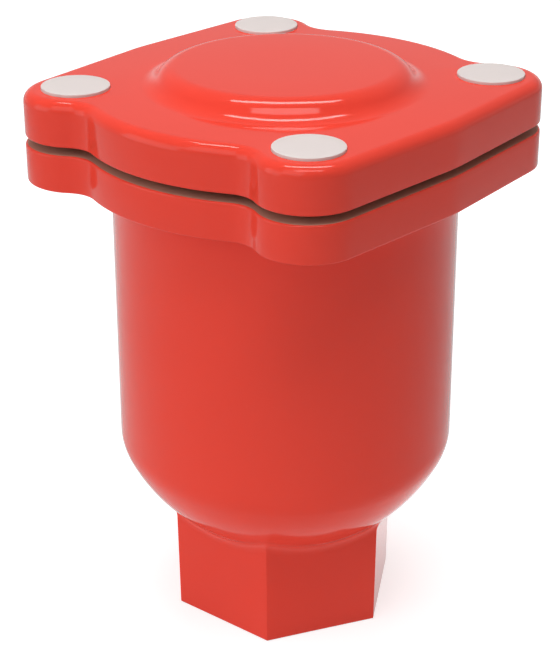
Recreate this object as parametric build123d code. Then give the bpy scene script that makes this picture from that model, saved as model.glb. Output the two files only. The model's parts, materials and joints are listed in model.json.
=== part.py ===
from build123d import *
import math
import os

# Automatic air release valve with a lever and a ball float.
# The origin is the centre of the hexagon's underside, +Z is up and the valve stands on its inlet.
# The plates' two straight sides face +X and -X; the vent leaves through the side that faces +Y.
# All sizes are millimetres and all angles are degrees.

# Body casting
body_radius = 42.5
body_wall = 5.0
bowl_start_height = 49.2
knuckle_radius = 13.3
knuckle_angle = 25.7
flange_bottom = 117.6
flange_width = 7.5
flange_thickness = 9.2
flange_edge_radius = 0.5

# Plan of the body flange and of the cover; the lugs are centred on the rim of the plate
lug_radius = 12.5
plate_hollow_radius = 8.0

# Spanner hexagon and the inlet thread inside it
hex_across_flats = 51.3
hex_draft = 0.8
hex_join_radius = 5.0
hex_overlap = 1.0
inlet_thread_radius = 16.65
inlet_thread_depth = 20.0
inlet_bore_radius = 14.5
inlet_chamfer = 1.0

# Flange gasket
gasket_thickness = 2.05
gasket_screw_clearance = 1.5
bore_clearance = 0.3

# Cover
cover_thickness = 10.95
cover_edge_radius = 2.8
dome_flat_radius = 26.0
dome_slope_width = 9.0
dome_height = 4.4
spigot_depth = 4.0
spigot_width = 2.7

# Cover screws and their blanking caps
screw_radius = 4.0
screw_length = 16.0
screw_head_radius = 6.5
screw_head_height = 5.0
screw_head_edge = 0.4
screw_socket_flats = 5.0
screw_socket_depth = 3.0
screw_seat_thickness = 4.9
screw_hole_clearance = 0.5
counterbore_clearance = 0.5
thread_clearance = 0.02
cap_radius = 8.2
cap_thickness = 1.6
cap_stand = 0.7
cap_edge_radius = 0.2
cap_stem_length = 2.6
cap_stem_clearance = 0.05
cap_recess_clearance = 0.05

# Orifice seat and the vent drilled behind it
seal_reach = 8.5
seat_thread_radius = 5.0
seat_thread_length = 5.0
seat_flats = 14.0
seat_flange_thickness = 3.0
seat_nozzle_length = 1.85
seat_nozzle_base_radius = 4.0
seat_nozzle_tip_radius = 2.0
seat_bore_radius = 2.0
orifice_radius = 0.8
orifice_length = 1.6
seat_gasket_thickness = 1.0
seat_gasket_radius = 7.0
seat_hole_run_out = 5.5
vent_radius = 2.25
vent_height = 6.35

# Lever, its seal and its bush
lever_open_angle = 12.0
lever_width = 8.0
lever_thickness = 4.0
lever_end_radius = 4.5
lever_heel_start = 0.5
lever_heel_width = 4.0
stop_clearance = 0.05
bush_radius = 3.0
bush_end_clearance = 0.2
pin_radius = 2.0
pin_clearance = 0.05
holder_radius = 4.2
holder_floor = 0.4
holder_rim_height = 1.0
holder_thread_radius = 2.5
holder_thread_end = 1.0
seal_disc_radius = 3.2
seal_disc_thickness = 1.4
seal_closing_gap = 0.2
holder_nut_flats = 8.0
holder_nut_thickness = 2.7

# Lever bracket and its screws
bracket_sheet = 1.6
bracket_gap = 12.0
bracket_end = 0.5
bracket_wall_clearance = 0.85
bracket_start = 0.2
bracket_depth = 7.8
bracket_corner_radius = 2.0
bracket_screw_clearance = 0.9
bracket_screw_radius = 2.0
bracket_screw_length = 8.0
bracket_screw_head_radius = 3.5
bracket_screw_head_height = 4.0
bracket_socket_flats = 3.0
bracket_socket_depth = 2.0
bracket_hole_clearance = 0.25
bracket_hole_run_out = 0.8
spring_washer_thickness = 1.1
spring_washer_radius = 3.4
spring_washer_slit = 0.8

# Retaining clips on both pins
clip_thickness = 0.7
clip_radius = 3.0
clip_groove_depth = 0.4
clip_gap = 0.2
clip_mouth = 2.0
pin_end_length = 0.9
pin_end_chamfer = 0.3

# Float, its yoke and the boss that joins them
yoke_side_clearance = 0.3
yoke_ear = 2.0
yoke_floor_clearance = 1.1
yoke_floor = 3.0
yoke_stem_radius = 3.0
yoke_stem_length = 8.4
yoke_nut_gap = 1.0
yoke_nut_flats = 10.0
yoke_nut_thickness = 3.0
boss_radius = 5.5
boss_length = 6.5
boss_stand = 2.5
boss_hole_run_out = 0.8
float_wall_gap = 5.5
float_sheet = 0.6
float_lap = 3.0
float_lap_clearance = 0.05

# Heights and places that follow from the sizes above
flange_top = flange_bottom + flange_thickness
cover_bottom = flange_top + gasket_thickness
cover_top = cover_bottom + cover_thickness
bore_radius = body_radius - body_wall
plate_radius = body_radius + flange_width
bolt_circle_radius = plate_radius
crown_radius = knuckle_radius + (body_radius - knuckle_radius) / math.cos(
    math.radians(knuckle_angle)
)
crown_height = bowl_start_height + (crown_radius - knuckle_radius) * math.sin(
    math.radians(knuckle_angle)
)
bolt_place = bolt_circle_radius / math.sqrt(2)
bolt_places = [(x, y) for x in (-bolt_place, bolt_place) for y in (-bolt_place, bolt_place)]
screw_seat_height = cover_bottom + screw_seat_thickness
cap_seat_height = cover_top + cap_stand - cap_thickness
seat_flange_bottom = cover_bottom - seat_gasket_thickness - seat_flange_thickness
seat_tip_height = seat_flange_bottom - seat_nozzle_length
spigot_radius = bore_radius - bore_clearance
bracket_screw_offset = (
    bracket_gap / 2 + bracket_sheet + bracket_screw_clearance + bracket_screw_head_radius
)
bracket_half_length = bracket_screw_offset + bracket_screw_head_radius + bracket_end
bracket_back = math.sqrt(
    (spigot_radius - spigot_width - bracket_wall_clearance) ** 2 - bracket_half_length ** 2
)
lever_pivot_offset = bracket_back - bracket_depth + bracket_start
seat_offset = lever_pivot_offset - seal_reach
float_radius = bore_radius - float_wall_gap
pivot_height = (
    seat_tip_height - seal_closing_gap - seal_disc_thickness - holder_floor - lever_thickness / 2
)
lever_length = lever_pivot_offset / math.cos(math.radians(lever_open_angle))
link_height = pivot_height - lever_pivot_offset * math.tan(math.radians(lever_open_angle))
bracket_underside = cover_bottom - bracket_sheet
bracket_centre = bracket_back - bracket_depth / 2
yoke_floor_top = -(lever_end_radius + yoke_floor_clearance)
yoke_floor_bottom = yoke_floor_top - yoke_floor
yoke_nut_bottom = yoke_floor_bottom - yoke_nut_gap - yoke_nut_thickness
float_centre = yoke_nut_bottom - boss_stand - float_radius


def polar(radius, angle, centre=(0, 0)):
    """Point at a distance and an angle in degrees from a centre."""
    turn = math.radians(angle)
    return (centre[0] + radius * math.cos(turn), centre[1] + radius * math.sin(turn))


def arc(radius, start, end, centre=(0, 0)):
    """Circular arc between two angles in degrees."""
    middle = (start + end) / 2
    return ThreePointArc(
        polar(radius, start, centre), polar(radius, middle, centre), polar(radius, end, centre)
    )


def tube(outer, inner, bottom, top):
    """Upright ring between two radii and two heights."""
    ring = Circle(outer) - Circle(inner)
    return Pos(0, 0, bottom) * extrude(ring, top - bottom)


def rod(radius, bottom, top):
    """Upright round bar between two heights."""
    return Pos(0, 0, bottom) * extrude(Circle(radius), top - bottom)


def hexagon(across_flats):
    """Hexagon with two corners on the X axis."""
    return RegularPolygon(across_flats / math.sqrt(3), 6)


def group(solids):
    """Several separate solids that share one node."""
    return Compound([solid for shape in solids for solid in shape.solids()])


def edges_between(shape, low, high):
    """Edges that lie wholly between two heights."""
    boxes = [(edge, edge.bounding_box()) for edge in shape.edges()]
    return [edge for edge, box in boxes if box.min.Z > low and box.max.Z < high]


# Plan that the body flange and the cover share: a disc with four lugs.
# Straight lines join lugs and disc on the X sides, hollow curves on the Y sides.
def plate_plan():
    lug_centre = (bolt_place, bolt_place)
    line_angle = math.degrees(math.asin((plate_radius - lug_radius) / bolt_circle_radius)) - 45
    hollow_reach = plate_radius + plate_hollow_radius
    lug_reach = lug_radius + plate_hollow_radius
    spread = math.degrees(math.acos(
        (hollow_reach ** 2 + bolt_circle_radius ** 2 - lug_reach ** 2)
        / (2 * hollow_reach * bolt_circle_radius)
    ))
    hollow_angle = 45 + spread
    hollow_centre = polar(hollow_reach, hollow_angle)
    lug_end = math.degrees(math.atan2(
        hollow_centre[1] - lug_centre[1], hollow_centre[0] - lug_centre[0]
    ))
    quarter = Curve() + [
        arc(plate_radius, 0, line_angle),
        Line(polar(plate_radius, line_angle), polar(lug_radius, line_angle, lug_centre)),
        arc(lug_radius, line_angle, lug_end, lug_centre),
        arc(plate_hollow_radius, lug_end - 180, hollow_angle - 180, hollow_centre),
        arc(plate_radius, hollow_angle, 90),
    ]
    half = quarter + mirror(quarter, Plane.YZ)
    return make_face(half + mirror(half, Plane.XZ))


# Round bottom of the body, as a face to turn about the Z axis.
# A tight knuckle runs into a wide crown; the inset gives the inside of the wall.
def bowl_profile(inset, top):
    knuckle_centre = (body_radius - knuckle_radius, bowl_start_height)
    crown_centre = (0, crown_height)
    crown = crown_radius - inset
    knuckle = knuckle_radius - inset
    wall = body_radius - inset
    outline = Curve() + [
        arc(crown, -90, -knuckle_angle, crown_centre),
        arc(knuckle, -knuckle_angle, 0, knuckle_centre),
        Line((wall, bowl_start_height), (wall, top)),
        Line((wall, top), (0, top)),
        Line((0, top), (0, crown_height - crown)),
    ]
    return Plane.XZ * make_face(outline)


# One side of the spanner hexagon: all that lies behind its flat, which leans out by the draft.
# A hollow curve, the same all round the crown, joins the flat to the bowl above it.
def hexagon_side():
    lean = math.radians(hex_draft)
    half_flats = hex_across_flats / 2
    flat_reach = half_flats * math.cos(lean) + crown_height * math.sin(lean)
    curve_centre = (flat_reach + hex_join_radius, math.sqrt(
        (crown_radius + hex_join_radius) ** 2 - (flat_reach + hex_join_radius) ** 2
    ))
    share = crown_radius / (crown_radius + hex_join_radius)
    touch = (curve_centre[0] * share, curve_centre[1] * share)
    touch_angle = 180 + math.degrees(math.atan2(curve_centre[1], curve_centre[0]))
    top = crown_height - math.sqrt(
        touch[1] ** 2 - (touch[0] * math.tan(math.radians(30))) ** 2
    ) + hex_overlap
    inner = math.sqrt(crown_radius ** 2 - flat_reach ** 2) - hex_overlap
    behind = flat_reach - hex_overlap
    flare = make_face(Curve() + [
        arc(hex_join_radius, touch_angle, 180, curve_centre),
        Line((flat_reach, curve_centre[1]), (behind, curve_centre[1])),
        Line((behind, curve_centre[1]), (behind, inner)),
        Line((behind, inner), touch),
    ])
    collar = Pos(0, 0, crown_height) * Rot(Y=hex_draft) * revolve(flare, Axis.X)
    reach = 4 * half_flats
    block = make_face(Polyline(
        (half_flats, 0), (half_flats + top * math.tan(lean), top), (-reach, top), (-reach, 0),
        (half_flats, 0),
    ))
    slab = Pos(0, 0, top / 2) * Box(2 * reach, 2 * reach, top)
    return (extrude(Plane.XZ * block, reach, both=True) + collar) & slab


# Hexagon with two corners on the X axis and its curves up into the bowl.
def spanner_hexagon():
    side = hexagon_side()
    prism = Rot(Z=30) * side
    for turn in range(90, 390, 60):
        prism = prism & (Rot(Z=turn) * side)
    return prism


# Body casting: hexagon, bowl, barrel and the four-lug flange in one piece.
def body():
    outside = revolve(bowl_profile(0, flange_top), Axis.Z) + spanner_hexagon()
    flange = Pos(0, 0, flange_bottom) * extrude(plate_plan(), flange_thickness)
    rims = flange.edges().filter_by(lambda edge: edge.bounding_box().size.Z < 0.01)
    casting = outside + fillet(rims, flange_edge_radius)
    casting -= revolve(bowl_profile(body_wall, flange_top + 1), Axis.Z)
    casting -= rod(inlet_bore_radius, 0, bowl_start_height)
    casting -= rod(inlet_thread_radius, 0, inlet_thread_depth)
    casting -= Pos(0, 0, inlet_chamfer / 2) * Cone(
        inlet_thread_radius + inlet_chamfer, inlet_thread_radius, inlet_chamfer
    )
    for x, y in bolt_places:
        casting -= Pos(x, y, 0) * rod(
            screw_radius + thread_clearance, flange_bottom - 1, flange_top + 1
        )
    return casting


# Flat ring between the flange and the cover.
def flange_gasket():
    outer = bolt_circle_radius - screw_radius - gasket_screw_clearance
    return tube(outer, bore_radius + bore_clearance, flange_top, cover_bottom)


# Raised round middle of the cover, with one round slope of two equal arcs.
def cover_dome():
    slope_angle = 2 * math.degrees(math.atan(dome_height / dome_slope_width))
    slope_radius = dome_slope_width / (2 * math.sin(math.radians(slope_angle)))
    foot_radius = dome_flat_radius + dome_slope_width
    dome_top = cover_top + dome_height
    upper_centre = (dome_flat_radius, dome_top - slope_radius)
    lower_centre = (foot_radius, cover_top + slope_radius)
    outline = Curve() + [
        Line((0, cover_bottom), (0, dome_top)),
        Line((0, dome_top), (dome_flat_radius, dome_top)),
        arc(slope_radius, 90, 90 - slope_angle, upper_centre),
        arc(slope_radius, 270 - slope_angle, 270, lower_centre),
        Line((foot_radius, cover_top), (foot_radius, cover_bottom)),
        Line((foot_radius, cover_bottom), (0, cover_bottom)),
    ]
    return revolve(Plane.XZ * make_face(outline), Axis.Z)


# Cover casting with its spigot, screw pockets, seat hole and vent.
def cover():
    plate = Pos(0, 0, cover_bottom) * extrude(plate_plan(), cover_thickness)
    rim = edges_between(plate, cover_top - 0.01, cover_top + 0.01)
    casting = fillet(rim, cover_edge_radius) + cover_dome()
    casting += tube(
        spigot_radius, spigot_radius - spigot_width, cover_bottom - spigot_depth, cover_bottom
    )
    hole = rod(screw_radius + screw_hole_clearance, cover_bottom - 1, cover_top)
    pocket = rod(screw_head_radius + counterbore_clearance, screw_seat_height, cover_top)
    recess = rod(cap_radius + cap_recess_clearance, cap_seat_height, cover_top + 1)
    for x, y in bolt_places:
        casting -= Pos(x, y, 0) * (hole + pocket + recess)
    seat_stem_top = cover_bottom - seat_gasket_thickness + seat_thread_length
    casting -= Pos(0, seat_offset, 0) * rod(
        seat_thread_radius + thread_clearance, cover_bottom - 1, seat_stem_top + seat_hole_run_out
    )
    vent = Cylinder(vent_radius, plate_radius, align=(Align.CENTER, Align.CENTER, Align.MIN))
    casting -= Pos(0, seat_offset, cover_bottom + vent_height) * Rot(X=-90) * vent
    screw_top = bracket_underside - spring_washer_thickness + bracket_screw_length
    for side in (-1, 1):
        casting -= Pos(side * bracket_screw_offset, bracket_centre, 0) * rod(
            bracket_screw_radius + thread_clearance, cover_bottom - 1, screw_top + bracket_hole_run_out
        )
    return casting


# Low-head socket screw, its underhead at height zero and its shank pointing down.
def socket_screw(radius, length, head_radius, head_height, flats, depth):
    head = fillet(
        rod(head_radius, 0, head_height).edges().group_by(Axis.Z)[-1], screw_head_edge
    )
    socket = Pos(0, 0, head_height - depth) * extrude(hexagon(flats), depth)
    shank = chamfer(rod(radius, -length, 0).edges().group_by(Axis.Z)[0], screw_head_edge)
    return head + shank - socket


# Four screws that hold the cover, each in its pocket.
def cover_screws():
    screw = socket_screw(
        screw_radius, screw_length, screw_head_radius, screw_head_height,
        screw_socket_flats, screw_socket_depth,
    )
    return group([Pos(x, y, screw_seat_height) * screw for x, y in bolt_places])


# Four plain caps that close the screw pockets; each stem plugs into a screw's socket.
def screw_caps():
    disc = rod(cap_radius, cap_seat_height, cap_seat_height + cap_thickness)
    disc = fillet(disc.edges().group_by(Axis.Z)[-1], cap_edge_radius)
    stem_radius = screw_socket_flats / 2 - cap_stem_clearance
    stem = rod(stem_radius, cap_seat_height - cap_stem_length, cap_seat_height)
    return group([Pos(x, y, 0) * (disc + stem) for x, y in bolt_places])


# Screwed seat with the small orifice that the lever's seal closes.
def orifice_seat():
    flange_top_height = cover_bottom - seat_gasket_thickness
    flange = Pos(0, 0, seat_flange_bottom) * extrude(hexagon(seat_flats), seat_flange_thickness)
    stem = rod(seat_thread_radius, flange_top_height, flange_top_height + seat_thread_length)
    nozzle = Pos(0, 0, seat_tip_height + seat_nozzle_length / 2) * Cone(
        seat_nozzle_tip_radius, seat_nozzle_base_radius, seat_nozzle_length
    )
    seat = flange + stem + nozzle
    seat -= rod(orifice_radius, seat_tip_height - 1, seat_flange_bottom)
    seat -= rod(
        seat_bore_radius, seat_tip_height + orifice_length, flange_top_height + seat_thread_length + 1
    )
    return Pos(0, seat_offset, 0) * seat


# Soft ring under the seat's flange.
def seat_gasket():
    ring = tube(
        seat_gasket_radius, seat_thread_radius + thread_clearance,
        cover_bottom - seat_gasket_thickness, cover_bottom,
    )
    return Pos(0, seat_offset, 0) * ring


# Bent sheet bracket: a plate under the cover with two ears for the pivot pin.
def lever_bracket():
    sheet = RectangleRounded(2 * bracket_half_length, bracket_depth, bracket_corner_radius)
    plate = Pos(0, bracket_centre, bracket_underside) * extrude(sheet, bracket_sheet)
    hole = rod(bracket_screw_radius + bracket_hole_clearance, bracket_underside - 1, cover_bottom + 1)
    for side in (-1, 1):
        plate -= Pos(side * bracket_screw_offset, bracket_centre, 0) * hole
    front = lever_pivot_offset - bracket_start
    neck = Polyline(
        (front, cover_bottom), (bracket_back, cover_bottom),
        polar(lever_end_radius, 0, (lever_pivot_offset, pivot_height)),
        polar(lever_end_radius, 180, (lever_pivot_offset, pivot_height)),
        (front, pivot_height + lever_end_radius), (front, cover_bottom),
    )
    ear_face = make_face(neck) + Pos(lever_pivot_offset, pivot_height) * Circle(lever_end_radius)
    ear_face -= Pos(lever_pivot_offset, pivot_height) * Circle(pin_radius + pin_clearance)
    ear = extrude(Plane.YZ * ear_face, bracket_sheet)
    ears = Pos(bracket_gap / 2, 0, 0) * ear + Pos(-bracket_gap / 2 - bracket_sheet, 0, 0) * ear
    return plate + ears


# Two small socket screws that hold the bracket, pointing up into the cover.
def bracket_screws():
    screw = socket_screw(
        bracket_screw_radius, bracket_screw_length, bracket_screw_head_radius,
        bracket_screw_head_height, bracket_socket_flats, bracket_socket_depth,
    )
    height = bracket_underside - spring_washer_thickness
    places = [(side * bracket_screw_offset, bracket_centre) for side in (-1, 1)]
    return group([Pos(x, y, height) * Rot(X=180) * screw for x, y in places])


# Split spring washers under the bracket screws' heads.
def bracket_spring_washers():
    ring = tube(
        spring_washer_radius, bracket_screw_radius + bracket_hole_clearance,
        bracket_underside - spring_washer_thickness, bracket_underside,
    )
    slit = Pos(spring_washer_radius, 0, bracket_underside) * Box(
        2 * spring_washer_radius, spring_washer_slit, 4 * spring_washer_thickness
    )
    washer = ring - slit
    return group([
        Pos(side * bracket_screw_offset, bracket_centre, 0) * washer for side in (-1, 1)
    ])


def lever_place():
    """Moves a piece from the pivot's own frame, lever level, to the open rest pose."""
    return Pos(0, lever_pivot_offset, pivot_height) * Rot(X=lever_open_angle)


# Round pin along the X axis with a groove for a clip at each end.
def grooved_pin(reach):
    groove = reach + clip_gap
    half = groove + clip_thickness + pin_end_length
    pin = chamfer(rod(pin_radius, -half, half).edges(), pin_end_chamfer)
    for side in (-1, 1):
        middle = side * (groove + clip_thickness / 2)
        pin -= tube(
            pin_radius + 1, pin_radius - clip_groove_depth,
            middle - clip_thickness / 2, middle + clip_thickness / 2,
        )
    return Rot(Y=90) * pin


# Two open clips that snap into a pin's grooves.
def pin_clips(reach):
    groove = reach + clip_gap
    ring = tube(clip_radius, pin_radius - clip_groove_depth, 0, clip_thickness)
    mouth = Pos(0, -clip_radius, 0) * Box(clip_mouth, 2 * clip_radius, 4 * clip_thickness)
    clip = ring - mouth
    return [
        Rot(Y=90) * Pos(0, 0, height) * clip for height in (groove, -groove - clip_thickness)
    ]


def pivot_pin():
    reach = bracket_gap / 2 + bracket_sheet
    return Pos(0, lever_pivot_offset, pivot_height) * grooved_pin(reach)


def pivot_clips():
    reach = bracket_gap / 2 + bracket_sheet
    place = Pos(0, lever_pivot_offset, pivot_height)
    return group([place * clip for clip in pin_clips(reach)])


# Lever: a straight arm with two round ends and a heel that stops its fall.
def float_lever():
    arm = Pos(-lever_length / 2, 0) * Rectangle(lever_length, lever_thickness)
    ends = Circle(lever_end_radius) + Pos(-lever_length, 0) * Circle(lever_end_radius)
    heel_height = bracket_underside - pivot_height - stop_clearance
    heel = Pos(lever_heel_start + lever_heel_width / 2, heel_height / 2) * Rectangle(
        lever_heel_width, heel_height
    )
    outline = arm + ends + Rot(Z=-lever_open_angle) * heel
    outline -= Circle(bush_radius)
    outline -= Pos(-lever_length, 0) * Circle(pin_radius + pin_clearance)
    lever = extrude(Plane.YZ * outline, lever_width / 2, both=True)
    lever -= Pos(0, -seal_reach, 0) * rod(
        holder_thread_radius + thread_clearance, -lever_thickness, lever_thickness
    )
    return lever_place() * lever


# Bush pressed into the lever; it also keeps the lever in the middle of the bracket.
def lever_bush():
    half = bracket_gap / 2 - bush_end_clearance
    bush = tube(bush_radius, pin_radius + pin_clearance, -half, half)
    return lever_place() * Rot(Y=90) * bush


# Threaded cup that carries the seal on top of the lever.
def seal_holder():
    lever_top = lever_thickness / 2
    floor = lever_top + holder_floor
    cup = rod(holder_radius, lever_top, floor + holder_rim_height)
    cup -= rod(seal_disc_radius, floor, floor + holder_rim_height)
    thread_bottom = -lever_top - holder_nut_thickness - holder_thread_end
    stem = rod(holder_thread_radius, thread_bottom, lever_top)
    return lever_place() * Pos(0, -seal_reach, 0) * (cup + stem)


# Rubber disc in the cup.
def seal_disc():
    floor = lever_thickness / 2 + holder_floor
    disc = rod(seal_disc_radius, floor, floor + seal_disc_thickness)
    return lever_place() * Pos(0, -seal_reach, 0) * disc


# Thin nut with a round hole, from a height upwards.
def thin_nut(flats, hole_radius, bottom, thickness):
    nut = Pos(0, 0, bottom) * extrude(hexagon(flats), thickness)
    return nut - rod(hole_radius + thread_clearance, bottom - 1, bottom + thickness + 1)


def seal_lock_nut():
    bottom = -lever_thickness / 2 - holder_nut_thickness
    nut = thin_nut(holder_nut_flats, holder_thread_radius, bottom, holder_nut_thickness)
    return lever_place() * Pos(0, -seal_reach, 0) * nut


def yoke_reach():
    """Distance from the middle of the yoke to the outside of an ear."""
    return lever_width / 2 + yoke_side_clearance + yoke_ear


# Fork that hangs from the lever's end, with a threaded stem below.
def float_yoke():
    reach = yoke_reach()
    side = Pos(0, yoke_floor_bottom / 2) * Rectangle(2 * lever_end_radius, -yoke_floor_bottom)
    side += Circle(lever_end_radius)
    block = extrude(Plane.YZ * side, reach, both=True)
    gap = 2 * (reach - yoke_ear)
    above = lever_end_radius + 1
    block -= Pos(0, 0, (yoke_floor_top + above) / 2) * Box(
        gap, 4 * lever_end_radius, above - yoke_floor_top
    )
    block -= Rot(Y=90) * rod(pin_radius + pin_clearance, -2 * reach, 2 * reach)
    stem = rod(yoke_stem_radius, yoke_floor_bottom - yoke_stem_length, yoke_floor_bottom)
    return Pos(0, 0, link_height) * (block + stem)


def link_pin():
    return Pos(0, 0, link_height) * grooved_pin(yoke_reach())


def link_clips():
    return group([Pos(0, 0, link_height) * clip for clip in pin_clips(yoke_reach())])


# Nut that locks the yoke's stem in the float's boss.
def yoke_lock_nut():
    nut = thin_nut(yoke_nut_flats, yoke_stem_radius, yoke_nut_bottom, yoke_nut_thickness)
    return Pos(0, 0, link_height) * nut


# Tapped boss welded into the top of the float.
def float_boss():
    boss = rod(boss_radius, yoke_nut_bottom - boss_length, yoke_nut_bottom)
    stem_bottom = yoke_floor_bottom - yoke_stem_length
    boss -= rod(yoke_stem_radius + thread_clearance, stem_bottom - boss_hole_run_out, yoke_nut_bottom)
    return Pos(0, 0, link_height) * boss


# Thin half of a ball, the upper or the lower one.
def half_shell(outer, inner, upper):
    side = Align.MIN if upper else Align.MAX
    half = Box(3 * outer, 3 * outer, 2 * outer, align=(Align.CENTER, Align.CENTER, side))
    return (Sphere(outer) - Sphere(inner)) & half


def float_upper_shell():
    shell = half_shell(float_radius, float_radius - float_sheet, True)
    shell -= rod(boss_radius, 0, 2 * float_radius)
    return Pos(0, 0, link_height + float_centre) * shell


# Lower half with a lip that slips into the upper half before welding.
def float_lower_shell():
    inner = float_radius - float_sheet
    shell = half_shell(float_radius, inner, False)
    lip_radius = math.sqrt((inner - float_lap_clearance) ** 2 - float_lap ** 2)
    lip = tube(lip_radius, lip_radius - float_sheet, 0, float_lap)
    ledge = Cone(
        inner, lip_radius, float_sheet, align=(Align.CENTER, Align.CENTER, Align.MAX)
    )
    ledge -= rod(lip_radius - float_sheet, -2 * float_sheet, 0)
    shell = shell + lip + (ledge & Sphere(inner + float_sheet / 2))
    return Pos(0, 0, link_height + float_centre) * shell


parts = {
    "body": body,
    "cover": cover,
    "flange_gasket": flange_gasket,
    "cover_screws": cover_screws,
    "screw_caps": screw_caps,
    "orifice_seat": orifice_seat,
    "seat_gasket": seat_gasket,
    "lever_bracket": lever_bracket,
    "bracket_screws": bracket_screws,
    "bracket_spring_washers": bracket_spring_washers,
    "pivot_pin": pivot_pin,
    "pivot_clips": pivot_clips,
    "float_lever": float_lever,
    "lever_bush": lever_bush,
    "seal_holder": seal_holder,
    "seal_disc": seal_disc,
    "seal_lock_nut": seal_lock_nut,
    "link_pin": link_pin,
    "link_clips": link_clips,
    "float_yoke": float_yoke,
    "yoke_lock_nut": yoke_lock_nut,
    "float_boss": float_boss,
    "float_upper_shell": float_upper_shell,
    "float_lower_shell": float_lower_shell,
}

os.makedirs("parts", exist_ok=True)
for name, build in parts.items():
    export_step(build(), f"parts/{name}.step")
    print("wrote", name)
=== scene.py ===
"""Finishes and fine shapes of an air release valve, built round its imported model.

Sizes of pieces are millimetres and are turned into metres as vertices are placed. The lamps, the
studio, the camera and the bump depth of a finish are given in metres, and lenses in millimetres.
+Z is up and the valve stands on its hexagon; its vent leaves through the side that faces +Y.
"""

import json
import logging
import math
from dataclasses import dataclass, field
from enum import Enum
from functools import lru_cache
from typing import Callable, Sequence

import bmesh
import bpy
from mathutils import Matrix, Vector


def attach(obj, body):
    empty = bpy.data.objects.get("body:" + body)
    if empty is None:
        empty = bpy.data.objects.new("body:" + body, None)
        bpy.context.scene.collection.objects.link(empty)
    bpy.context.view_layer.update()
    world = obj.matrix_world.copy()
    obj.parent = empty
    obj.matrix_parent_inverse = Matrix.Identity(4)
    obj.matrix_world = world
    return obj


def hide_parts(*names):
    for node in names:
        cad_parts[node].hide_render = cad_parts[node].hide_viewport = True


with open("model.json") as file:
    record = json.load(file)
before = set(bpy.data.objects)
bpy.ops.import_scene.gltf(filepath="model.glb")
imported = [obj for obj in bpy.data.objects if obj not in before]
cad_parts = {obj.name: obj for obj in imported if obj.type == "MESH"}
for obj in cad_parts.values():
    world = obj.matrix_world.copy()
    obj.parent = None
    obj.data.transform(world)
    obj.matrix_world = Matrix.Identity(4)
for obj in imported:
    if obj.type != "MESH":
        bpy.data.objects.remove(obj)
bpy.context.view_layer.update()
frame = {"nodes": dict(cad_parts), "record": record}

logging.basicConfig(level=logging.INFO, format="%(name)s: %(message)s")
log = logging.getLogger("valve")

MM = 0.001
OVERCUT = 2.0
BAR_SIDES = 48
ANGLE_SLACK = 1e-5
WELD_REACH = 1e-6
WHITE = (1.0, 1.0, 1.0, 1.0)
Ring = Callable[[float], tuple[float, float]]


class LampShape(Enum):
    """Outline of a lamp's lit face."""

    RECTANGLE = "RECTANGLE"
    ELLIPSE = "ELLIPSE"


class EndCap(Enum):
    """How the open end of a skin is closed."""

    OPEN = "open"
    FLAT = "flat"


def deselect() -> None:
    """Leaves every object unselected, in object mode."""
    if bpy.context.object and bpy.context.object.mode != "OBJECT":
        bpy.ops.object.mode_set(mode="OBJECT")
    bpy.ops.object.select_all(action="DESELECT")


def activate(piece: bpy.types.Object) -> None:
    """Selects one object alone and makes it active.

    Args:
        piece: Object to select.
    """
    deselect()
    piece.select_set(True)
    bpy.context.view_layer.objects.active = piece


def outward(azimuth: float, elevation: float) -> Vector:
    """Direction away from the valve.

    Args:
        azimuth: Degrees round from -Y towards +X.
        elevation: Degrees up from level.

    Returns:
        Vector of length 1.
    """
    turn, rise = math.radians(azimuth), math.radians(elevation)
    return Vector((math.sin(turn) * math.cos(rise), -math.cos(turn) * math.cos(rise), math.sin(rise)))


def hexagon_side(angle: float) -> float:
    """Angle from the middle of the nearest side of a hexagon with two corners along X, in radians."""
    return math.radians(math.degrees(angle) % 60 - 30)


def circle(radius: float, height: float) -> Ring:
    """Level circle as a ring."""
    return lambda angle: (radius, height)


def arc_points(
    centre: tuple[float, float], radius: float, start: float, end: float, steps: int
) -> list[tuple[float, float]]:
    """Points along an arc in the plane of radius and height.

    Args:
        centre: Radius and height of the arc's centre.
        radius: Radius of the arc.
        start: First angle in degrees, from outward.
        end: Last angle in degrees.
        steps: Number of steps along the arc.

    Returns:
        Radius and height of each point, from start to end, both included.
    """
    turns = [math.radians(start + (end - start) * step / steps) for step in range(steps + 1)]
    return [(centre[0] + radius * math.cos(turn), centre[1] + radius * math.sin(turn)) for turn in turns]


def arc_rings(
    centre: tuple[float, float], radius: float, start: float, end: float, steps: int
) -> list[Ring]:
    """Level circles through the points of an arc, which takes the same values as arc_points."""
    return [circle(*point) for point in arc_points(centre, radius, start, end, steps)]


def even_angles(count: int) -> list[float]:
    """Evenly spaced angles of a full turn, in radians."""
    return [2 * math.pi * step / count for step in range(count)]


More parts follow.
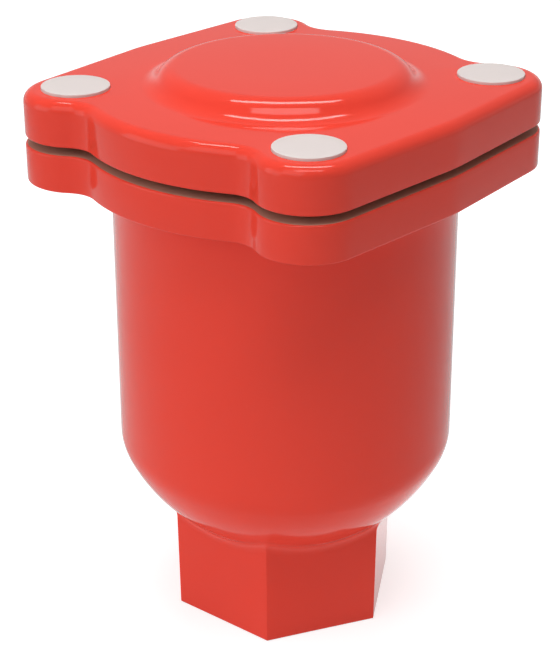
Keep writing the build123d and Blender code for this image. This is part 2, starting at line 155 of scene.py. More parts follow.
def lay_rings(
    name: str,
    rings: Sequence[Ring],
    angles: Sequence[float],
    start_cap: EndCap = EndCap.OPEN,
    end_cap: EndCap = EndCap.OPEN,
) -> bpy.types.Object:
    """Pulls a skin ring by ring out of one circle.

    Args:
        name: Name of the new object.
        rings: Each ring's radius and height as a function of the angle.
        angles: Sorted angles in radians at which every ring has a vertex.
        start_cap: How the first ring is closed.
        end_cap: How the last ring is closed.

    Returns:
        The new object, in object mode.
    """
    deselect()
    bpy.ops.mesh.primitive_circle_add(vertices=len(angles), radius=MM)
    skin = bpy.context.object
    skin.name = name
    skin.data.name = name
    bpy.ops.object.mode_set(mode="EDIT")
    bpy.ops.mesh.select_all(action="SELECT")
    mesh = bmesh.from_edit_mesh(skin.data)
    ordered = list(mesh.verts)

    def turn_of(vertex: bmesh.types.BMVert) -> float:
        """Angle at which a vertex stands, with a little slack so that the first one comes first."""
        return (math.atan2(vertex.co.y, vertex.co.x) + ANGLE_SLACK) % (2 * math.pi)

    for number, ring in enumerate(rings):
        if number:
            bpy.ops.mesh.extrude_edges_move()
            mesh = bmesh.from_edit_mesh(skin.data)
            ordered = sorted((vertex for vertex in mesh.verts if vertex.select), key=turn_of)
        for vertex, angle in zip(ordered, angles):
            radius, height = ring(angle)
            vertex.co = (
                radius * math.cos(angle) * MM, radius * math.sin(angle) * MM, height * MM
            )
        if number == 0 and start_cap is EndCap.FLAT:
            bpy.ops.mesh.edge_face_add()
            mesh = bmesh.from_edit_mesh(skin.data)
            for face in mesh.faces:
                face.select = False
            for edge in mesh.edges:
                edge.select = True
        bmesh.update_edit_mesh(skin.data)
    if end_cap is EndCap.FLAT:
        bpy.ops.mesh.edge_face_add()
    bpy.ops.object.mode_set(mode="OBJECT")
    return skin


def weld(name: str, skins: Sequence[bpy.types.Object]) -> bpy.types.Object:
    """Joins skins that share their end rings into one closed piece.

    Args:
        name: Name of the finished piece.
        skins: Objects to join; the first one receives the others.

    Returns:
        The joined piece with its normals outwards.
    """
    activate(skins[0])
    for skin in skins[1:]:
        skin.select_set(True)
    if len(skins) > 1:
        bpy.ops.object.join()
    piece = bpy.context.object
    piece.name = name
    piece.data.name = name
    bpy.ops.object.mode_set(mode="EDIT")
    bpy.ops.mesh.select_all(action="SELECT")
    bpy.ops.mesh.remove_doubles(threshold=WELD_REACH)
    bpy.ops.mesh.normals_make_consistent(inside=False)
    bpy.ops.object.mode_set(mode="OBJECT")
    return piece


def turned(name: str, rings: Sequence[Ring], sides: int) -> bpy.types.Object:
    """Makes a closed piece from rings, with a flat face at each end.

    Args:
        name: Name of the piece.
        rings: Rings from one end to the other.
        sides: Number of vertices in each ring.

    Returns:
        The piece with its normals outwards.
    """
    return weld(name, [lay_rings(name, rings, even_angles(sides), EndCap.FLAT, EndCap.FLAT)])


def cut(piece: bpy.types.Object, cutter: bpy.types.Object) -> None:
    """Takes the cutter's volume out of a piece and deletes the cutter.

    Args:
        piece: Object to cut.
        cutter: Closed object whose finish the cut faces receive.
    """
    activate(piece)
    modifier = piece.modifiers.new("cut", "BOOLEAN")
    modifier.operation = "DIFFERENCE"
    modifier.solver = "EXACT"
    modifier.material_mode = "TRANSFER"
    modifier.object = cutter
    bpy.ops.object.modifier_apply(modifier=modifier.name)
    bpy.data.objects.remove(cutter)


def smooth(piece: bpy.types.Object, degrees: float = 30.0) -> None:
    """Shades a piece smooth, apart from edges sharper than an angle."""
    activate(piece)
    bpy.ops.object.shade_smooth_by_angle(angle=math.radians(degrees))


def move_mesh(piece: bpy.types.Object, offset: tuple[float, float, float]) -> None:
    """Moves a piece's mesh and leaves its object at the origin.

    Args:
        piece: Object whose mesh moves.
        offset: How far it moves along X, Y and Z, in millimetres.
    """
    activate(piece)
    bpy.ops.object.mode_set(mode="EDIT")
    bpy.ops.mesh.select_all(action="SELECT")
    bpy.ops.transform.translate(value=[length * MM for length in offset])
    bpy.ops.object.mode_set(mode="OBJECT")


def turn_mesh(piece: bpy.types.Object, degrees: float, axis: str) -> None:
    """Turns a piece's mesh about a world axis through the origin.

    Args:
        piece: Object to turn.
        degrees: Angle by the right-hand rule.
        axis: X, Y or Z.
    """
    activate(piece)
    bpy.ops.object.mode_set(mode="EDIT")
    bpy.ops.mesh.select_all(action="SELECT")
    bpy.ops.transform.rotate(
        value=-math.radians(degrees), orient_axis=axis, center_override=(0.0, 0.0, 0.0)
    )
    bpy.ops.object.mode_set(mode="OBJECT")


class Bench:
    """Adds nodes to one shader tree and links them."""

    def __init__(self, tree: bpy.types.NodeTree) -> None:
        """Takes the tree that the nodes go into."""
        self.tree = tree

    def node(self, kind: str, **settings: object) -> bpy.types.Node:
        """Adds a node.

        Args:
            kind: Blender's type name of the node.
            **settings: Attributes of the node, or input values by socket name with _ for a space.

        Returns:
            The new node.
        """
        made = self.tree.nodes.new(kind)
        for name, value in settings.items():
            socket = made.inputs.get(name.replace("_", " "))
            if socket is not None:
                socket.default_value = value
            else:
                setattr(made, name, value)
        return made

    def link(self, source: bpy.types.NodeSocket, target: bpy.types.NodeSocket) -> None:
        """Links an output socket to an input socket."""
        self.tree.links.new(source, target)

    def blend(
        self, mask: bpy.types.NodeSocket, low: Sequence[float], high: Sequence[float]
    ) -> bpy.types.NodeSocket:
        """Mixes two colours by a mask.

        Args:
            mask: Socket that gives the share of the high colour.
            low: Colour where the mask is 0.
            high: Colour where the mask is 1.

        Returns:
            Socket with the mixed colour.
        """
        mix = self.node("ShaderNodeMix", data_type="RGBA")
        self.link(mask, mix.inputs["Factor"])
        colours = [socket for socket in mix.inputs if socket.type == "RGBA"]
        for socket, colour in zip(colours, (low, high)):
            socket.default_value = (*colour, 1.0)
        return next(socket for socket in mix.outputs if socket.type == "RGBA")

    def spread(
        self, mask: bpy.types.NodeSocket, low: float, high: float, full: float = 1.0
    ) -> bpy.types.NodeSocket:
        """Maps a mask that grows from 0 onto a range.

        Args:
            mask: Socket with the mask.
            low: Value where the mask is 0.
            high: Value where the mask is full.
            full: Highest value of the mask.

        Returns:
            Socket with the mapped value.
        """
        ranged = self.node("ShaderNodeMapRange", From_Max=full, To_Min=low, To_Max=high)
        self.link(mask, ranged.inputs["Value"])
        return ranged.outputs["Result"]

    def switch(
        self,
        choice: bpy.types.NodeSocket,
        otherwise: bpy.types.NodeSocket | None,
        chosen: bpy.types.NodeSocket | float,
    ) -> bpy.types.NodeSocket:
        """Picks one of two values.

        Args:
            choice: Socket that is 1 where the second value holds and 0 elsewhere.
            otherwise: Socket with the value elsewhere, or None for 0.
            chosen: Socket or number that holds where the choice is 1.

        Returns:
            Socket with the picked value.
        """
        mix = self.node("ShaderNodeMix", data_type="FLOAT")
        self.link(choice, mix.inputs["Factor"])
        if otherwise is not None:
            self.link(otherwise, mix.inputs["A"])
        if isinstance(chosen, float):
            mix.inputs["B"].default_value = chosen
        else:
            self.link(chosen, mix.inputs["B"])
        return mix.outputs["Result"]


def group_tree(
    name: str, inputs: Sequence[tuple[str, str, float]], outputs: Sequence[str]
) -> tuple[bpy.types.NodeTree, bpy.types.Node, bpy.types.Node]:
    """Starts a shader node group.

    Args:
        name: Name of the group.
        inputs: Name, socket type and default of each input.
        outputs: Name of each output, all single values.

    Returns:
        The tree with its input node and its output node.
    """
    tree = bpy.data.node_groups.new(name, "ShaderNodeTree")
    for title, kind, default in inputs:
        socket = tree.interface.new_socket(name=title, in_out="INPUT", socket_type=kind)
        if kind == "NodeSocketFloat":
            socket.default_value = default
    for title in outputs:
        tree.interface.new_socket(name=title, in_out="OUTPUT", socket_type="NodeSocketFloat")
    return tree, tree.nodes.new("NodeGroupInput"), tree.nodes.new("NodeGroupOutput")


@lru_cache(maxsize=None)
def grain_group() -> bpy.types.NodeTree:
    """Fine grain over broad unevenness.

    Returns:
        Group that puts out a height and a mask for gloss and colour.
    """
    tree, given, result = group_tree(
        "surface_grain",
        (
            ("Vector", "NodeSocketVector", 0.0),
            ("Fine Scale", "NodeSocketFloat", 900.0),
            ("Broad Scale", "NodeSocketFloat", 60.0),
            ("Fine Share", "NodeSocketFloat", 0.5),
        ),
        ("Height", "Mask"),
    )
    bench = Bench(tree)
    fine = bench.node("ShaderNodeTexNoise", Detail=2.0, Roughness=0.5)
    broad = bench.node("ShaderNodeTexNoise", Detail=3.0, Roughness=0.55)
    for noise, scale in ((fine, "Fine Scale"), (broad, "Broad Scale")):
        bench.link(given.outputs["Vector"], noise.inputs["Vector"])
        bench.link(given.outputs[scale], noise.inputs["Scale"])
    mix = bench.node("ShaderNodeMix", data_type="FLOAT")
    bench.link(given.outputs["Fine Share"], mix.inputs["Factor"])
    bench.link(broad.outputs["Fac"], mix.inputs["A"])
    bench.link(fine.outputs["Fac"], mix.inputs["B"])
    bench.link(mix.outputs["Result"], result.inputs["Height"])
    bench.link(broad.outputs["Fac"], result.inputs["Mask"])
    return tree


@lru_cache(maxsize=None)
def turning_group() -> bpy.types.NodeTree:
    """Concentric tool marks round the Z axis of the given vector, slightly uneven.

    Returns:
        Group that puts out a height.
    """
    tree, given, result = group_tree(
        "turning_marks",
        (
            ("Vector", "NodeSocketVector", 0.0),
            ("Marks", "NodeSocketFloat", 4000.0),
            ("Uneven", "NodeSocketFloat", 1.5),
        ),
        ("Height",),
    )
    bench = Bench(tree)
    marks = bench.node(
        "ShaderNodeTexWave", wave_type="RINGS", rings_direction="Z", Detail=2.0, Detail_Scale=3.0
    )
    bench.link(given.outputs["Vector"], marks.inputs["Vector"])
    bench.link(given.outputs["Marks"], marks.inputs["Scale"])
    bench.link(given.outputs["Uneven"], marks.inputs["Distortion"])
    bench.link(marks.outputs["Fac"], result.inputs["Height"])
    return tree


@dataclass(frozen=True)
class Finish:
    """What every finish has: a base colour, a gloss and a grain in the surface.

    Scales count noise or marks along a metre, and bump_depth is in metres.
    """

    name: str
    colour: tuple[float, float, float]
    deep_colour: tuple[float, float, float]
    roughness: tuple[float, float]
    metallic: float = 0.0
    specular: float = 0.5
    fine_scale: float = 900.0
    broad_scale: float = 60.0
    fine_share: float = 0.5
    bump_strength: float = 0.2
    bump_depth: float = 0.00005
    stretch: tuple[float, float, float] = (1.0, 1.0, 1.0)
    marks: float = 0.0

    def build(self) -> bpy.types.Material:
        """Makes the material, unless it is already made.

        Returns:
            The one material of this name.
        """
        if self.name in bpy.data.materials:
            return bpy.data.materials[self.name]
        material = bpy.data.materials.new(self.name)
        material.use_nodes = True
        bench = Bench(material.node_tree)
        shader = material.node_tree.nodes["Principled BSDF"]
        shader.inputs["Metallic"].default_value = self.metallic
        shader.inputs["Specular IOR Level"].default_value = self.specular
        coordinates = bench.node("ShaderNodeTexCoord")
        mapping = bench.node("ShaderNodeMapping", Scale=self.stretch)
        bench.link(coordinates.outputs["Object"], mapping.inputs["Vector"])
        grain = bench.node(
            "ShaderNodeGroup",
            node_tree=grain_group(),
            Fine_Scale=self.fine_scale,
            Broad_Scale=self.broad_scale,
            Fine_Share=self.fine_share,
        )
        bench.link(mapping.outputs["Vector"], grain.inputs["Vector"])
        colour = bench.blend(grain.outputs["Mask"], self.deep_colour, self.colour)
        bench.link(colour, shader.inputs["Base Color"])
        gloss = bench.spread(grain.outputs["Mask"], self.roughness[0], self.roughness[1])
        bench.link(gloss, shader.inputs["Roughness"])
        bump = bench.node("ShaderNodeBump", Strength=self.bump_strength, Distance=self.bump_depth)
        bench.link(self._height(bench, mapping, grain), bump.inputs["Height"])
        bench.link(bump.outputs["Normal"], shader.inputs["Normal"])
        return material

    def _height(
        self, bench: Bench, mapping: bpy.types.Node, grain: bpy.types.Node
    ) -> bpy.types.NodeSocket:
        """Adds tool marks to the grain where the finish has them.

        Args:
            bench: Bench of the material.
            mapping: Node that gives the place on the piece.
            grain: Grain group's node.

        Returns:
            Socket with the height.
        """
        if not self.marks:
            return grain.outputs["Height"]
        turning = bench.node("ShaderNodeGroup", node_tree=turning_group(), Marks=self.marks)
        bench.link(mapping.outputs["Vector"], turning.inputs["Vector"])
        total = bench.node("ShaderNodeMath", operation="ADD")
        bench.link(grain.outputs["Height"], total.inputs[0])
        bench.link(turning.outputs["Height"], total.inputs[1])
        return total.outputs["Value"]


RED_ENAMEL = Finish(
    name="red_enamel",
    colour=(0.9, 0.06, 0.034),
    deep_colour=(0.88, 0.057, 0.032),
    roughness=(0.075, 0.1),
    specular=0.24,
    fine_scale=700.0,
    broad_scale=45.0,
    fine_share=0.35,
    bump_strength=0.1,
    bump_depth=0.00002,
)
MACHINED_IRON = Finish(
    name="machined_iron",
    colour=(0.36, 0.35, 0.34),
    deep_colour=(0.22, 0.21, 0.2),
    roughness=(0.32, 0.5),
    metallic=1.0,
    fine_scale=2500.0,
    bump_depth=0.00002,
    marks=700.0,
)
PRIMED_IRON = Finish(
    name="primed_iron",
    colour=(0.62, 0.33, 0.25),
    deep_colour=(0.54, 0.28, 0.21),
    roughness=(0.5, 0.65),
    metallic=0.2,
    fine_scale=2500.0,
    bump_depth=0.00002,
    marks=500.0,
)
BLASTED_STEEL = Finish(
    name="blasted_steel",
    colour=(0.71, 0.64, 0.618),
    deep_colour=(0.68, 0.612, 0.592),
    roughness=(0.6, 0.68),
    metallic=0.1,
    specular=0.2,
    fine_scale=3500.0,
    broad_scale=120.0,
    fine_share=0.8,
    bump_strength=0.3,
    bump_depth=0.00003,
)
STAINLESS = Finish(
    name="stainless_steel",
    colour=(0.62, 0.61, 0.6),
    deep_colour=(0.52, 0.51, 0.5),
    roughness=(0.22, 0.38),
    metallic=1.0,
    fine_scale=2500.0,
    stretch=(0.15, 1.0, 1.0),
    bump_depth=0.00002,
)
POLISHED_SHEET = Finish(
    name="polished_sheet",
    colour=(0.7, 0.69, 0.68),
    deep_colour=(0.6, 0.59, 0.57),
    roughness=(0.12, 0.24),
    metallic=1.0,
    fine_scale=1500.0,
    broad_scale=30.0,
    bump_depth=0.00003,
)
BRONZE = Finish(
    name="bronze",
    colour=(0.62, 0.38, 0.17),
    deep_colour=(0.45, 0.26, 0.11),
    roughness=(0.25, 0.4),
    metallic=1.0,
    fine_scale=2500.0,
    bump_depth=0.00002,
)
GASKET_RUBBER = Finish(
    name="gasket_rubber",
    colour=(0.05, 0.035, 0.032),
    deep_colour=(0.025, 0.02, 0.02),
    roughness=(0.6, 0.8),
    fine_scale=1800.0,
    bump_strength=0.5,
)
SEAL_RUBBER = Finish(
    name="seal_rubber",
    colour=(0.03, 0.03, 0.032),
    deep_colour=(0.015, 0.015, 0.016),
    roughness=(0.45, 0.6),
    fine_scale=1800.0,
    bump_strength=0.3,
)


def paint(piece: bpy.types.Object, finish: Finish) -> None:
    """Gives a whole piece one finish."""
    piece.data.materials.clear()
    piece.data.materials.append(finish.build())


@dataclass(frozen=True)
class PlatePlan:
    """Outline that the body flange and the cover share: a disc with four lugs on its rim."""

    rim_radius: float = 50.0
    lug_radius: float = 12.5
    hollow_radius: float = 8.0
    samples: int = 288
    steps_per_sample: int = 8

    @property
    def lug_places(self) -> list[tuple[float, float]]:
        """Centres of the four lugs."""
        place = self.rim_radius / math.sqrt(2)
        return [(x, y) for x in (-place, place) for y in (-place, place)]

    def radius(self, angle: float, inset: float = 0.0) -> float:
        """Distance from the middle to the outline.

        Args:
            angle: Direction in radians.
            inset: How far the outline is moved inwards.

        Returns:
            The distance in millimetres.
        """
        x, y = abs(math.cos(angle)), abs(math.sin(angle))
        turn = math.degrees(math.atan2(y, x))
        disc = self.rim_radius - inset
        lug = self.lug_radius - inset
        line_angle = math.degrees(math.asin(1 - self.lug_radius / self.rim_radius)) - 45
        reach = self.rim_radius + self.hollow_radius
        spread = math.degrees(math.acos(
            (reach ** 2 + self.rim_radius ** 2 - (self.lug_radius + self.hollow_radius) ** 2)
            / (2 * reach * self.rim_radius)
        ))
        hollow_angle = 45 + spread
        if turn <= line_angle or turn >= hollow_angle:
            return disc
        lug_x = self.rim_radius / math.sqrt(2)
        line_end = math.degrees(math.atan2(
            lug_x + lug * math.sin(math.radians(line_angle)),
            lug_x + lug * math.cos(math.radians(line_angle)),
        ))
        if turn <= line_end:
            return disc / math.cos(math.radians(turn - line_angle))
        hollow = self.hollow_radius + inset
        centre = (
            reach * math.cos(math.radians(hollow_angle)), reach * math.sin(math.radians(hollow_angle))
        )
        share = hollow / (self.lug_radius + self.hollow_radius)
        touch = [centre[axis] + (lug_x - centre[axis]) * share for axis in (0, 1)]
        if turn >= math.degrees(math.atan2(touch[1], touch[0])):
            side = math.radians(turn - hollow_angle)
            return reach * math.cos(side) - math.sqrt(hollow ** 2 - (reach * math.sin(side)) ** 2)
        side = math.radians(turn - 45)
        return self.rim_radius * math.cos(side) + math.sqrt(
            lug ** 2 - (self.rim_radius * math.sin(side)) ** 2
        )

    def ring(self, inset: float, height: float) -> Ring:
        """Level outline, moved inwards by an inset."""
        return lambda angle: (self.radius(angle, inset), height)

    def edge(self, radius: float, low: float, start: float, end: float, steps: int) -> list[Ring]:
        """Rounded edge that runs along the outline.

        Args:
            radius: Radius of the rounding.
            low: Height of the rounding's centre.
            start: First angle of its section in degrees, from outward.
            end: Last angle of its section.
            steps: Number of steps.

        Returns:
            Rings from start to end, both included.
        """
        points = arc_points((0.0, low), radius, start, end, steps)
        return [self.ring(radius - reach, height) for reach, height in points]

    def angles(self) -> list[float]:
        """Spaces vertices evenly along the outline, with the hexagon's corners among them.

        Returns:
            Sorted angles in radians.
        """
        fine = self.steps_per_sample * self.samples
        points = []
        for step in range(fine + 1):
            angle = 2 * math.pi * step / fine
            radius = self.radius(angle)
            points.append(Vector((radius * math.cos(angle), radius * math.sin(angle))))
        lengths = [0.0]
        for first, second in zip(points, points[1:]):
            lengths.append(lengths[-1] + (second - first).length)
        chosen = []
        step = 0
        for number in range(self.samples):
            target = lengths[-1] * number / self.samples
            while lengths[step + 1] < target:
                step += 1
            share = (target - lengths[step]) / (lengths[step + 1] - lengths[step])
            chosen.append(2 * math.pi * (step + share) / fine)
        for corner in even_angles(6):
            nearest = min(range(self.samples), key=lambda number: abs(chosen[number] - corner))
            chosen[nearest] = corner
        return sorted(chosen)


PLAN = PlatePlan()


def copies_on_lugs(piece: bpy.types.Object) -> list[bpy.types.Object]:
    """Copies a piece from the middle to the four lugs, each copy with its own mesh.

    Args:
        piece: Model piece, which becomes the first copy.

    Returns:
        The four pieces in the order of their lugs.
    """
    made = [piece]
    while len(made) < len(PLAN.lug_places):
        double = piece.copy()
        double.data = piece.data.copy()
        bpy.context.scene.collection.objects.link(double)
        made.append(double)
    for double, place in zip(made, PLAN.lug_places):
        move_mesh(double, (*place, 0.0))
    return made


def round_bar(
    radius: float, low: float, high: float, place: tuple[float, float], finish: Finish
) -> bpy.types.Object:
    """Makes a closed upright bar for cutting a plain hole.

    Args:
        radius: Radius of the hole.
        low: Height of its lower end.
        high: Height of its upper end.
        place: Where the hole's axis stands.
        finish: Finish that the hole's wall receives.

    Returns:
        The bar.
    """
    rings = [circle(radius, low), circle(radius, high)]
    bar = turned("bar", rings, BAR_SIDES)
    paint(bar, finish)
    move_mesh(bar, (*place, 0.0))
    return bar


@dataclass
class BodyCasting:
    """Body: hexagon, dished bottom, barrel and flange, with the threaded inlet and the bore."""

    barrel_radius: float = 42.5
    wall: float = 5.0
    bowl_start: float = 49.2
    knuckle_radius: float = 13.3
    knuckle_angle: float = 25.7
    flange_bottom: float = 117.6
    flange_top: float = 126.8
    flange_edge: float = 0.5
    under_fillet: float = 0.8
    across_flats: float = 51.3
    draft: float = 0.8
    foot_edge: float = 0.25
    flat_heights: tuple[float, ...] = (8.0, 14.0, 16.0)
    join_radius: float = 5.0
    join_bottom: float = 17.0
    join_top: float = 34.5
    join_step: float = 0.5
    barrel_middle: float = 83.0
    inlet_radius: float = 16.65
    inlet_crest_radius: float = 15.15
    inlet_pitch: float = 2.309
    inlet_depth: float = 20.0
    inlet_chamfer: float = 1.0
    steps_per_pitch: int = 12
    passage_radius: float = 14.5
    passage_edge: float = 0.4
    bore_edge: float = 0.5
    screw_hole_radius: float = 4.02
    halvings: int = 26
    angles: list[float] = field(default_factory=PLAN.angles)

    @property
    def crown_radius(self) -> float:
        """Radius of the wide middle of the dished bottom."""
        return self.knuckle_radius + (self.barrel_radius - self.knuckle_radius) / math.cos(
            math.radians(self.knuckle_angle)
        )

    @property
    def crown_height(self) -> float:
        """Height of the crown's centre, which is on the axis."""
        return self.bowl_start + (self.crown_radius - self.knuckle_radius) * math.sin(
            math.radians(self.knuckle_angle)
        )

    def is_metal(self, radius: float, side_angle: float, height: float) -> bool:
        """Tells whether a point is behind a flat, in the crown or in the curve between them.

        Args:
            radius: Distance from the body's axis.
            side_angle: Angle in radians from the middle of the flat.
            height: Height above the foot.

        Returns:
            True where there is metal.
        """
        lean = math.radians(self.draft)
        flat = self.across_flats / 2 * math.cos(lean) + self.crown_height * math.sin(lean)
        drop = self.crown_height - height
        along = radius * math.cos(side_angle) * math.cos(lean) + drop * math.sin(lean)
        if along <= flat:
            return True
        reach = math.hypot(radius, drop)
        if reach <= self.crown_radius:
            return True
        across = math.sqrt(max(reach ** 2 - along ** 2, 0.0))
        centre_along = flat + self.join_radius
        centre_across = math.sqrt((self.crown_radius + self.join_radius) ** 2 - centre_along ** 2)
        beside = across <= centre_across and along * centre_across <= across * centre_along
        return beside and math.hypot(along - centre_along, across - centre_across) >= self.join_radius

    def foot_radius(self, angle: float, height: float) -> float:
        """Distance from the axis to the hexagon, its join or the crown, found by halving.

        Args:
            angle: Direction in radians.
            height: Height above the foot.

        Returns:
            The distance in millimetres.
        """
        side_angle = hexagon_side(angle)
        low, high = self.inlet_radius, 2 * self.barrel_radius
        for _ in range(self.halvings):
            middle = (low + high) / 2
            if self.is_metal(middle, side_angle, height):
                low = middle
            else:
                high = middle
        return low

    def foot_ring(self, height: float, inset: float = 0.0) -> Ring:
        """Level ring round the hexagon or the lower bowl."""
        return lambda angle: (self.foot_radius(angle, height) - inset, height)

    def outside(self) -> list[Ring]:
        """Lays out the outside.

        Returns:
            Rings from the hexagon's lower edge up to the flange's top edge.
        """
        rings = [self.foot_ring(0.0, self.foot_edge)]
        rings += [self.foot_ring(height) for height in (self.foot_edge, *self.flat_heights)]
        count = int((self.join_top - self.join_bottom) / self.join_step)
        rings += [self.foot_ring(self.join_bottom + self.join_step * number) for number in range(count)]
        steepest = math.degrees(math.asin((self.crown_height - self.join_top) / self.crown_radius))
        middle = (0.0, self.crown_height)
        rings += arc_rings(middle, self.crown_radius, -steepest, -self.knuckle_angle, steps=8)
        knuckle = (self.barrel_radius - self.knuckle_radius, self.bowl_start)
        rings += arc_rings(knuckle, self.knuckle_radius, -self.knuckle_angle, 0.0, steps=12)[1:]
        corner = (self.barrel_radius + self.under_fillet, self.flange_bottom - self.under_fillet)
        rings.append(circle(self.barrel_radius, self.barrel_middle))
        rings += arc_rings(corner, self.under_fillet, 180.0, 90.0, steps=4)
        edge = self.flange_edge
        rings += PLAN.edge(edge, self.flange_bottom + edge, -90.0, 0.0, steps=4)
        rings += PLAN.edge(edge, self.flange_top - edge, 0.0, 90.0, steps=4)
        return rings

    def inside(self) -> list[Ring]:
        """Lays out the joint face and the bore.

        Returns:
            Rings from the flange's top edge down the bore to the passage above the thread.
        """
        bore = self.barrel_radius - self.wall
        rings = [
            PLAN.ring(self.flange_edge, self.flange_top),
            circle(bore + self.bore_edge, self.flange_top),
            circle(bore, self.flange_top - self.bore_edge),
        ]
        knuckle = (self.barrel_radius - self.knuckle_radius, self.bowl_start)
        rings += arc_rings(knuckle, self.knuckle_radius - self.wall, 0.0, -self.knuckle_angle, steps=6)
        crown = self.crown_radius - self.wall
        lowest = math.degrees(math.acos(self.passage_radius / crown))
        middle = (0.0, self.crown_height)
        rings += arc_rings(middle, crown, -self.knuckle_angle, -lowest, steps=10)[1:]
        return rings

    def thread_radius(self, angle: float, height: float) -> float:
        """Radius of the inlet's thread, which fades out at its upper end.

        Args:
            angle: Direction in radians.
            height: Height above the foot.

        Returns:
            The radius in millimetres.
        """
        phase = height / self.inlet_pitch - angle / (2 * math.pi)
        depth = self.inlet_radius - self.inlet_crest_radius
        fade = min(1.0, (self.inlet_depth - height) / self.inlet_pitch)
        return self.inlet_radius - depth * fade * (0.5 - 0.5 * math.cos(2 * math.pi * phase))

    def thread_ring(self, height: float) -> Ring:
        """Level ring across the inlet's thread."""
        return lambda angle: (self.thread_radius(angle, height), height)

    def inlet(self) -> list[Ring]:
        """Lays out the inlet.

        Returns:
            Rings from the passage down the thread and out to the hexagon's lower edge.
        """
        crown = self.crown_radius - self.wall
        top = self.crown_height - math.sqrt(crown ** 2 - self.passage_radius ** 2)
        rings = [
            circle(self.passage_radius, top),
            circle(self.passage_radius, self.inlet_depth + self.passage_edge),
            circle(self.passage_radius + self.passage_edge, self.inlet_depth),
            circle(self.inlet_radius, self.inlet_depth),
        ]
        span = self.inlet_depth - self.inlet_chamfer
        count = int(span / self.inlet_pitch * self.steps_per_pitch)
        heights = [self.inlet_depth - span * step / count for step in range(1, count + 1)]
        rings += [self.thread_ring(height) for height in heights]
        rings.append(circle(self.inlet_radius + self.inlet_chamfer, 0.0))
        rings.append(self.foot_ring(0.0, self.foot_edge))
        return rings

    def build(self) -> bpy.types.Object:
        """Makes the closed casting with its four screw holes.

        Returns:
            The casting, in place of its node.
        """
        outside = lay_rings("body_outside", self.outside(), self.angles)
        paint(outside, RED_ENAMEL)
        inside = lay_rings("body_inside", self.inside(), self.angles)
        paint(inside, PRIMED_IRON)
        inlet = lay_rings("body_inlet", self.inlet(), self.angles)
        paint(inlet, MACHINED_IRON)
        casting = weld("body_casting", [outside, inside, inlet])
        low, high = self.flange_bottom - OVERCUT, self.flange_top + OVERCUT
        holes = [
            round_bar(self.screw_hole_radius, low, high, place, MACHINED_IRON)
            for place in PLAN.lug_places
        ]
        cut(casting, weld("holes", holes))
        smooth(casting)
        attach(casting, "root")
        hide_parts("body")
        return casting


